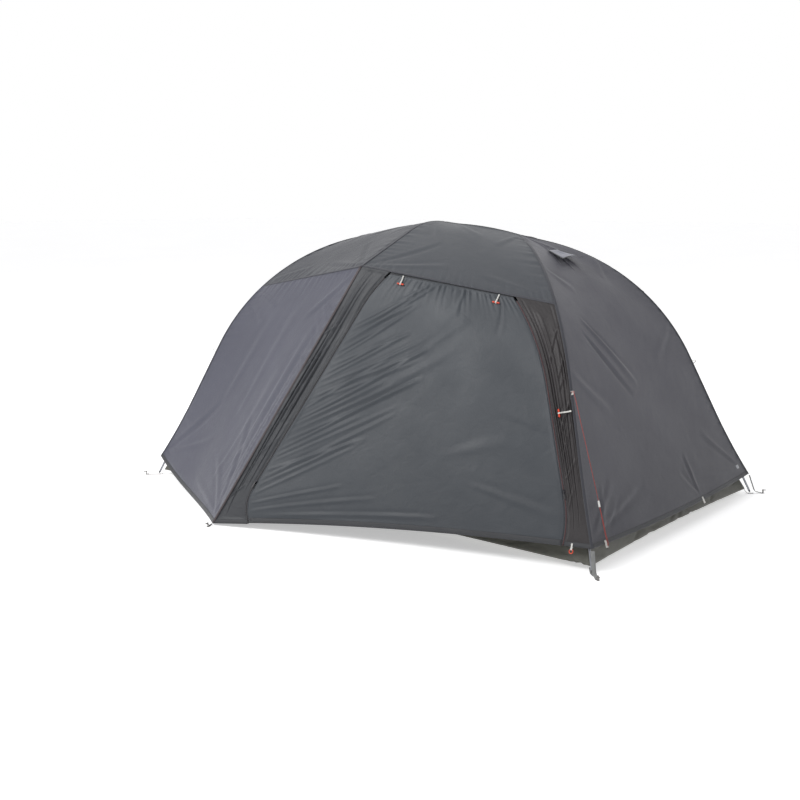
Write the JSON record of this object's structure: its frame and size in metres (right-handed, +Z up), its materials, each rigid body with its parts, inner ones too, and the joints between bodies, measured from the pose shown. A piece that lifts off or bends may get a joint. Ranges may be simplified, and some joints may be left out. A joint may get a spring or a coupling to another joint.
{
  "type": "dome tent",
  "caption": "Two-person double-wall dome tent on a hubbed pole frame, pitched with its rainfly closed: a door and staked vestibule on each long side.",
  "frame": {"origin": "on the ground under the middle of the floor", "axes": "+X along the floor to the right-hand end as seen from the front, -Y towards the front door, +Z up"},
  "size_m": [2.3508, 2.244, 1.151],
  "materials": {
    "fly_fabric": "woven ripstop nylon with a soft sheen",
    "door_fabric": "woven ripstop nylon with a soft sheen",
    "band_fabric": "woven nylon, darker",
    "inner_fabric": "fine mesh and light woven nylon",
    "floor_fabric": "coated woven nylon, matt",
    "pole_metal": "anodised, satin",
    "stake_metal": "anodised, satin",
    "red_metal": "anodised, satin",
    "black_plastic": "moulded, matt",
    "zip_black": "nylon coil, matt",
    "elastic_black": "elastic cord",
    "red_plastic": "moulded, matt",
    "red_cord": "braided cord",
    "pale_webbing": "woven webbing",
    "pale_plastic": "moulded, matt"
  },
  "bodies": {
    "tent": {"leg_lower_front_left": "pole_metal", "leg_lower_front_right": "pole_metal", "leg_lower_back_left": "pole_metal", "leg_lower_back_right": "pole_metal", "leg_upper_front_left": "pole_metal", "leg_upper_front_right": "pole_metal", "leg_upper_back_left": "pole_metal", "leg_upper_back_right": "pole_metal", "ridge_pole": "pole_metal", "brow_pole": "pole_metal", "pole_hubs": "red_metal", "ferrules": "pole_metal", "shock_cords": "elastic_black", "pole_tips": "black_plastic", "brow_clip": "black_plastic", "floor_tub": "floor_fabric", "inner_end_left": "inner_fabric", "inner_end_right": "inner_fabric", "inner_wall_front": "inner_fabric", "inner_wall_back": "inner_fabric", "inner_roof": "inner_fabric", "pole_clips": "black_plastic", "fly_roof_front_left": "fly_fabric", "fly_roof_front_right": "fly_fabric", "fly_roof_back_left": "fly_fabric", "fly_roof_back_right": "fly_fabric", "fly_end_left": "fly_fabric", "fly_end_right": "fly_fabric", "fly_side_front": "fly_fabric", "fly_side_back": "fly_fabric", "fly_gusset_front": "band_fabric", "fly_gusset_back": "band_fabric", "fly_placket_front": "band_fabric", "fly_placket_back": "band_fabric", "door_zips_front": "zip_black", "door_zips_back": "zip_black", "guyline": "red_cord", "guy_out_loops": "pale_webbing", "stake_straps": "pale_webbing", "stakes": "stake_metal"},
    "door_front": {"door_front": "door_fabric"},
    "door_back": {"door_back": "door_fabric"},
    "inner_door_front": {"inner_door_front": "inner_fabric"},
    "inner_door_back": {"inner_door_back": "inner_fabric"},
    "zip_slider_front_left": {"zip_slider_front_left": "zip_black"},
    "zip_slider_back_left": {"zip_slider_back_left": "zip_black"},
    "zip_slider_front_right": {"zip_slider_front_right": "zip_black"},
    "zip_slider_back_right": {"zip_slider_back_right": "zip_black"},
    "zip_pull_front_left": {"zip_pull_front_left": "zip_black"},
    "zip_pull_back_left": {"zip_pull_back_left": "zip_black"},
    "zip_pull_front_right": {"zip_pull_front_right": "zip_black"},
    "zip_pull_back_right": {"zip_pull_back_right": "zip_black"},
    "door_toggle_front_left": {"door_toggle_front_left": "red_plastic"},
    "door_toggle_back_left": {"door_toggle_back_left": "red_plastic"},
    "door_toggle_front_right": {"door_toggle_front_right": "red_plastic"},
    "door_toggle_back_right": {"door_toggle_back_right": "red_plastic"},
    "placket_toggle_front": {"placket_toggle_front": "red_plastic"},
    "placket_toggle_back": {"placket_toggle_back": "red_plastic"},
    "line_tensioner": {"line_tensioner": "pale_plastic"},
    "vent_hood": {"vent_hood": "fly_fabric"}
  },
  "joints": [
    {"name": "door_front_open", "type": "hinge", "parent": "tent", "child": "door_front", "pos_m": [0.08061, -0.47401, 0.95491], "axis": [-0.9756, -0.1702, 0.1385], "range_deg": [0, 75]},
    {"name": "door_back_open", "type": "hinge", "parent": "tent", "child": "door_back", "pos_m": [0.08061, 0.47401, 0.95491], "axis": [0.9756, -0.1702, -0.1385], "range_deg": [0, 75]},
    {"name": "inner_door_front_open", "type": "hinge", "parent": "tent", "child": "inner_door_front", "pos_m": [-0.28598, -0.57768, 0.23756], "axis": [0.1068, 0.2032, 0.9733], "range_deg": [0, 45]},
    {"name": "inner_door_back_open", "type": "hinge", "parent": "tent", "child": "inner_door_back", "pos_m": [-0.28598, 0.57768, 0.23756], "axis": [-0.1068, 0.2032, -0.9733], "range_deg": [0, 45]},
    {"name": "zip_slider_front_left_slide", "type": "slide", "parent": "tent", "child": "zip_slider_front_left", "axis": [0.246, 0.5064, 0.8264], "range_m": [0, 0.78]},
    {"name": "zip_slider_back_left_slide", "type": "slide", "parent": "tent", "child": "zip_slider_back_left", "axis": [0.246, -0.5064, 0.8264], "range_m": [0, 0.78]},
    {"name": "zip_slider_front_right_slide", "type": "slide", "parent": "tent", "child": "zip_slider_front_right", "axis": [-0.3836, 0.3109, 0.8696], "range_m": [0, 0.36]},
    {"name": "zip_slider_back_right_slide", "type": "slide", "parent": "tent", "child": "zip_slider_back_right", "axis": [-0.3836, -0.3109, 0.8696], "range_m": [0, 0.36]},
    {"name": "zip_pull_front_left_swing", "type": "hinge", "parent": "zip_slider_front_left", "child": "zip_pull_front_left", "pos_m": [-0.1886, -0.96958, 0.17006], "axis": [-0.945, -0.0645, 0.3208], "range_deg": [0, 150]},
    {"name": "zip_pull_back_left_swing", "type": "hinge", "parent": "zip_slider_back_left", "child": "zip_pull_back_left", "pos_m": [-0.1886, 0.96958, 0.17006], "axis": [0.945, -0.0645, -0.3208], "range_deg": [0, 150]},
    {"name": "zip_pull_front_right_swing", "type": "hinge", "parent": "zip_slider_front_right", "child": "zip_pull_front_right", "pos_m": [0.97579, -0.63496, 0.25332], "axis": [-0.8964, -0.3519, -0.2696], "range_deg": [0, 150]},
    {"name": "zip_pull_back_right_swing", "type": "hinge", "parent": "zip_slider_back_right", "child": "zip_pull_back_right", "pos_m": [0.97579, 0.63496, 0.25332], "axis": [0.8964, -0.3519, 0.2696], "range_deg": [0, 150]},
    {"name": "door_toggle_front_left_swing", "type": "hinge", "parent": "door_front", "child": "door_toggle_front_left", "pos_m": [0.13894, -0.46489, 0.94724], "axis": [-0.9773, -0.1632, 0.1352], "range_deg": [0, 90]},
    {"name": "door_toggle_back_left_swing", "type": "hinge", "parent": "door_back", "child": "door_toggle_back_left", "pos_m": [0.13894, 0.46489, 0.94724], "axis": [0.9773, -0.1632, -0.1352], "range_deg": [0, 90]},
    {"name": "door_toggle_front_right_swing", "type": "hinge", "parent": "door_front", "child": "door_toggle_front_right", "pos_m": [0.54034, -0.3948, 0.8904], "axis": [-0.9792, -0.1568, 0.129], "range_deg": [0, 90]},
    {"name": "door_toggle_back_right_swing", "type": "hinge", "parent": "door_back", "child": "door_toggle_back_right", "pos_m": [0.54034, 0.3948, 0.8904], "axis": [0.9792, -0.1568, -0.129], "range_deg": [0, 90]},
    {"name": "placket_toggle_front_swing", "type": "hinge", "parent": "tent", "child": "placket_toggle_front", "pos_m": [0.93404, -0.52323, 0.51298], "axis": [-0.3444, 0.314, 0.8847], "range_deg": [0, 90]},
    {"name": "placket_toggle_back_swing", "type": "hinge", "parent": "tent", "child": "placket_toggle_back", "pos_m": [0.93404, 0.52323, 0.51298], "axis": [0.3444, 0.314, -0.8847], "range_deg": [0, 90]},
    {"name": "line_tensioner_slide", "type": "slide", "parent": "tent", "child": "line_tensioner", "axis": [-0.3505, 0.1229, 0.9285], "range_m": [0, 0.06]},
    {"name": "vent_hood_lift", "type": "hinge", "parent": "tent", "child": "vent_hood", "pos_m": [0.52995, 0, 1.0417], "axis": [0, -1, 0], "range_deg": [0, 25]}
  ]
}
